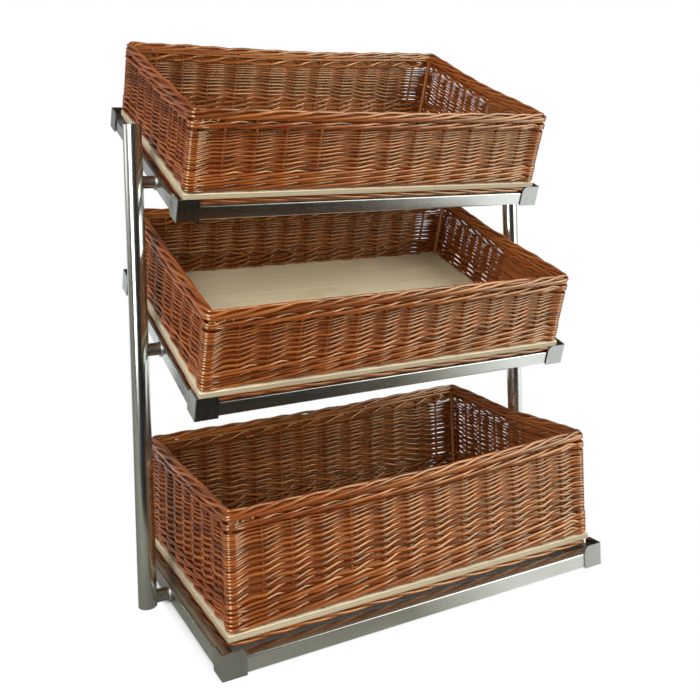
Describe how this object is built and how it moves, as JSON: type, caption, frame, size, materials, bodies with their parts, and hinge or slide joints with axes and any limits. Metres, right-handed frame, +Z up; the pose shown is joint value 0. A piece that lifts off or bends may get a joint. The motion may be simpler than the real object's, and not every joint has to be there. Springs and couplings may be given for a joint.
{
  "type": "bakery bread rack",
  "caption": "Counter-top bread rack: welded square-tube shelves, tipped towards the front and stepped back between two round posts, each holding a loose wicker basket with a plywood base.",
  "frame": {"origin": "on the floor, in the middle of the rack's outline", "axes": "+Z up; -Y towards the customer, the side that the shelves tip down to; +X to the right seen from there"},
  "size_m": [0.6814, 0.5034, 0.8232],
  "materials": {
    "rail_steel": "brushed along the tube, faint grain",
    "bracket_steel": "brushed plate, even satin",
    "stub_steel": "brushed round the tube, bright weld at its ends",
    "post_steel": "polished along the tube, soft streak reflections",
    "plywood": "bare birch plywood, layered edge",
    "willow_weave": "boiled willow, satin rods",
    "willow_rim": "boiled willow, satin rods",
    "willow_foot": "boiled willow, satin rods"
  },
  "bodies": {
    "stand": {"bottom_back_rail": "rail_steel", "bottom_bracket_back_left": "bracket_steel", "bottom_bracket_back_right": "bracket_steel", "bottom_bracket_front_left": "bracket_steel", "bottom_bracket_front_right": "bracket_steel", "bottom_front_rail": "rail_steel", "bottom_left_rail": "rail_steel", "bottom_right_rail": "rail_steel", "bottom_stub_left": "stub_steel", "bottom_stub_right": "stub_steel", "middle_back_rail": "rail_steel", "middle_bracket_back_left": "bracket_steel", "middle_bracket_back_right": "bracket_steel", "middle_bracket_front_left": "bracket_steel", "middle_bracket_front_right": "bracket_steel", "middle_front_rail": "rail_steel", "middle_left_rail": "rail_steel", "middle_right_rail": "rail_steel", "middle_stub_left": "stub_steel", "middle_stub_right": "stub_steel", "post_left": "post_steel", "post_left_foot_disc": "post_steel", "post_left_top_disc": "post_steel", "post_right": "post_steel", "post_right_foot_disc": "post_steel", "post_right_top_disc": "post_steel", "top_back_rail": "rail_steel", "top_bracket_back_left": "bracket_steel", "top_bracket_back_right": "bracket_steel", "top_bracket_front_left": "bracket_steel", "top_bracket_front_right": "bracket_steel", "top_front_rail": "rail_steel", "top_left_rail": "rail_steel", "top_right_rail": "rail_steel", "top_stub_left": "stub_steel", "top_stub_right": "stub_steel"},
    "basket_bottom": {"basket_bottom_base_board": "plywood", "basket_bottom_foot_border": "willow_foot", "basket_bottom_rim_border": "willow_rim", "basket_bottom_siding": "willow_weave"},
    "basket_middle": {"basket_middle_base_board": "plywood", "basket_middle_foot_border": "willow_foot", "basket_middle_rim_border": "willow_rim", "basket_middle_siding": "willow_weave"},
    "basket_top": {"basket_top_base_board": "plywood", "basket_top_foot_border": "willow_foot", "basket_top_rim_border": "willow_rim", "basket_top_siding": "willow_weave"}
  },
  "joints": [
    {"name": "basket_bottom_lift", "type": "slide", "parent": "stand", "child": "basket_bottom", "axis": [0, 0, 1], "range_m": [0, 0.08]},
    {"name": "basket_middle_lift", "type": "slide", "parent": "stand", "child": "basket_middle", "axis": [0, -0.3387, 0.9409], "range_m": [0, 0.05]},
    {"name": "basket_top_lift", "type": "slide", "parent": "stand", "child": "basket_top", "axis": [0, -0.3827, 0.9239], "range_m": [0, 0.25]}
  ]
}
